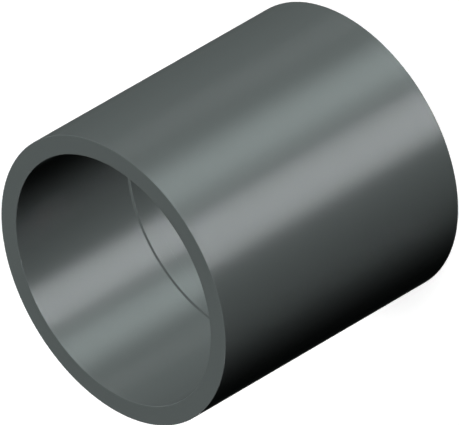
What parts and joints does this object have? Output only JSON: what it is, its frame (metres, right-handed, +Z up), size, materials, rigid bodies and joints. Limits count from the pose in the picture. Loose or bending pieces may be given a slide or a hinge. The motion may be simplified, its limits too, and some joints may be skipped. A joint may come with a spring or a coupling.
{
  "type": "pipe coupling",
  "caption": "Straight socket coupling for plastic pressure pipe: a plain cylindrical sleeve with a low stop rib round the inside at mid length.",
  "frame": {"origin": "centre of the lower end face, on the bore axis, in the plane that the coupling stands on", "axes": "+Z up along the bore axis. The two ends are alike, and X and Y are any two directions across the axis."},
  "size_m": [0.104, 0.104, 0.108],
  "materials": {
    "pvc": "semi-gloss dark green-grey moulded plastic"
  },
  "bodies": {
    "root": {"coupling": "pvc"}
  },
  "joints": []
}
